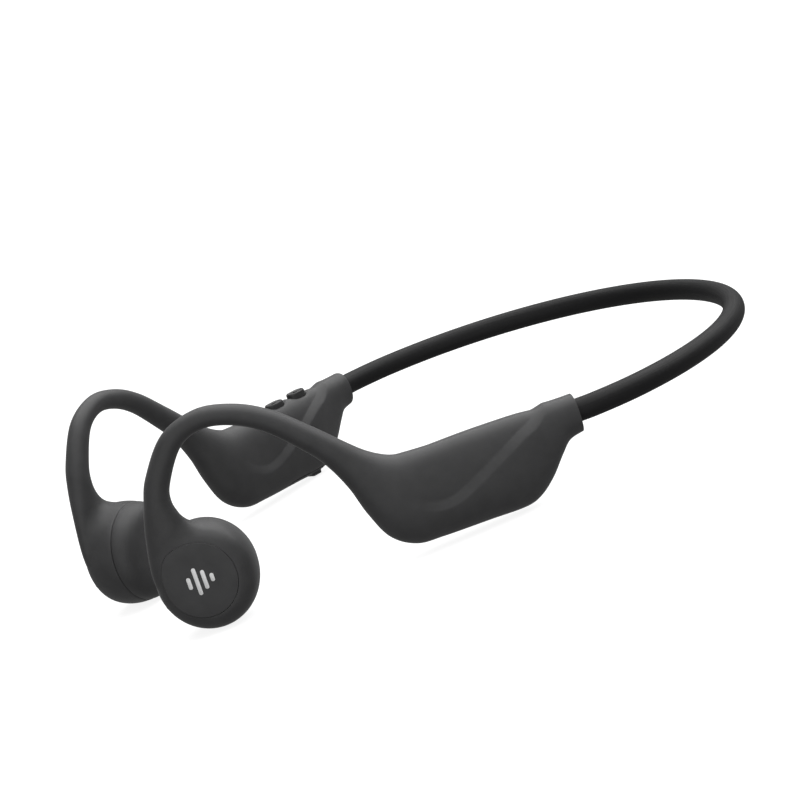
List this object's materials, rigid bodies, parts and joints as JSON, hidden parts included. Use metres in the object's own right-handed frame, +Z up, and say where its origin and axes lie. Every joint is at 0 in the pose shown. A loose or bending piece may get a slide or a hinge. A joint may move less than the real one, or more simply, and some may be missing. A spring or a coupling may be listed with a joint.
{
  "type": "bone conduction headphones",
  "caption": "Open-ear headphones: a springy neckband joins two housings whose ear hooks hold bone conduction pods in front of the ears.",
  "frame": {"origin": "middle of the base, on the surface that the headphones rest on", "axes": "+X to the wearer's left, +Y towards the back of the head (the pods are at -Y), +Z up"},
  "size_m": [0.1196, 0.1592, 0.0458],
  "materials": {
    "silicone": "soft-touch satin",
    "sleeve": "smooth satin",
    "casing": "fine matte",
    "steel": "satin",
    "titanium": "satin",
    "copper": "enamelled winding",
    "board": "solder mask",
    "chip": "moulded epoxy",
    "pouch": "foil",
    "rubber": "matte",
    "cable": "matte"
  },
  "bodies": {
    "neckband": {"neckband_sleeve_rear": "sleeve", "neckband_wire_rear": "titanium", "neckband_cable_rear": "cable"},
    "left_arm": {"neckband_sleeve_left": "sleeve", "neckband_wire_left": "titanium", "neckband_cable_left": "cable", "left_arm_skin": "silicone", "left_housing_shell_outer": "casing", "left_housing_shell_inner": "casing", "left_hook_wire": "titanium", "left_hook_cable": "cable", "left_collar_ferrule": "steel", "left_contact_cap": "silicone", "left_cap_gasket": "rubber", "left_driver_frame": "casing", "left_driver_yoke": "steel", "left_driver_magnet": "steel", "left_voice_coil": "copper", "left_coil_former": "casing", "left_suspension": "steel", "multifunction_switch": "chip", "multifunction_board": "board", "battery": "pouch", "battery_board": "board"},
    "right_arm": {"neckband_sleeve_right": "sleeve", "neckband_wire_right": "titanium", "neckband_cable_right": "cable", "right_arm_skin": "silicone", "right_housing_shell_outer": "casing", "right_housing_shell_inner": "casing", "right_hook_wire": "titanium", "right_hook_cable": "cable", "right_collar_ferrule": "steel", "right_contact_cap": "silicone", "right_cap_gasket": "rubber", "right_driver_frame": "casing", "right_driver_yoke": "steel", "right_driver_magnet": "steel", "right_voice_coil": "copper", "right_coil_former": "casing", "right_suspension": "steel", "volume_up_switch": "chip", "volume_down_switch": "chip", "main_board": "board", "bluetooth_chip": "chip", "charging_chip": "chip", "microphone": "steel", "charge_connector": "steel"},
    "multifunction_button": {"multifunction_button": "silicone"},
    "volume_up_button": {"volume_up_button": "rubber"},
    "volume_down_button": {"volume_down_button": "rubber"},
    "charge_port_cover": {"charge_port_cover": "rubber"}
  },
  "joints": [
    {"name": "left_arm_flex", "type": "hinge", "parent": "neckband", "child": "left_arm", "pos_m": [0.04059, 0.06036, 0.01325], "axis": [0, 0.0436, 0.999], "range_deg": [-2, 12], "stiffness_Nm_per_rad": 1.2},
    {"name": "right_arm_flex", "type": "hinge", "parent": "neckband", "child": "right_arm", "pos_m": [-0.04059, 0.06036, 0.01325], "axis": [0, -0.0436, -0.999], "range_deg": [-2, 12], "stiffness_Nm_per_rad": 1.2},
    {"name": "multifunction_press", "type": "slide", "parent": "left_arm", "child": "multifunction_button", "axis": [-0.8609, 0.5082, -0.0222], "range_m": [0, 0.0005], "stiffness_N_per_m": 600},
    {"name": "volume_up_press", "type": "slide", "parent": "right_arm", "child": "volume_up_button", "axis": [0, -0.0436, -0.999], "range_m": [0, 0.00035], "stiffness_N_per_m": 400},
    {"name": "volume_down_press", "type": "slide", "parent": "right_arm", "child": "volume_down_button", "axis": [0, -0.0436, -0.999], "range_m": [0, 0.00035], "stiffness_N_per_m": 400},
    {"name": "charge_cover_hinge", "type": "hinge", "parent": "right_arm", "child": "charge_port_cover", "pos_m": [-0.04757, -0.01846, 0.00138], "axis": [-0.9571, -0.2894, 0.0126], "range_deg": [0, 100], "stiffness_Nm_per_rad": 0.001}
  ]
}
